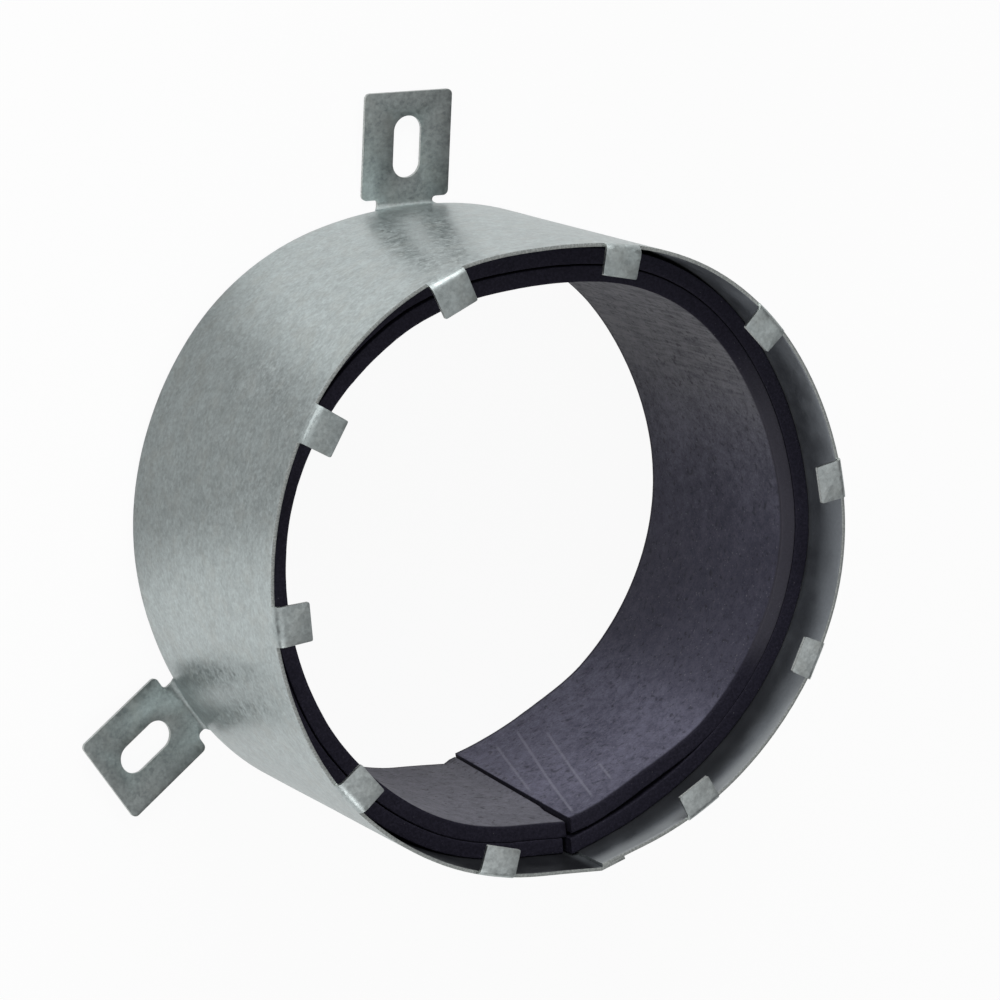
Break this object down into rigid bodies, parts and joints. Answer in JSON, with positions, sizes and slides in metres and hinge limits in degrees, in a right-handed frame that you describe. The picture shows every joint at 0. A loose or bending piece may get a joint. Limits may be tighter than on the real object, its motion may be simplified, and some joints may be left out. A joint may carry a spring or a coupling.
{
  "type": "pipe fire collar",
  "caption": "Wall-mounted pipe fire collar: rolled galvanised band with folded-in tabs and slotted lugs, lined with dark intumescent strip that swells to close a plastic pipe in a fire.",
  "frame": {"origin": "on the pipe axis, in the mounting plane of the lugs' back faces", "axes": "+Z along the pipe axis from the wall to the tabbed front, -Y towards the lap seam"},
  "size_m": [0.1529, 0.1519, 0.0671],
  "materials": {
    "galvanised_sheet": "hot-dip galvanised, fine spangle, semi-gloss",
    "intumescent_strip": "matte graphite-filled strip, mottled"
  },
  "bodies": {
    "root": {"casing": "galvanised_sheet", "outer_strip": "intumescent_strip", "inner_strip": "intumescent_strip"}
  },
  "joints": []
}
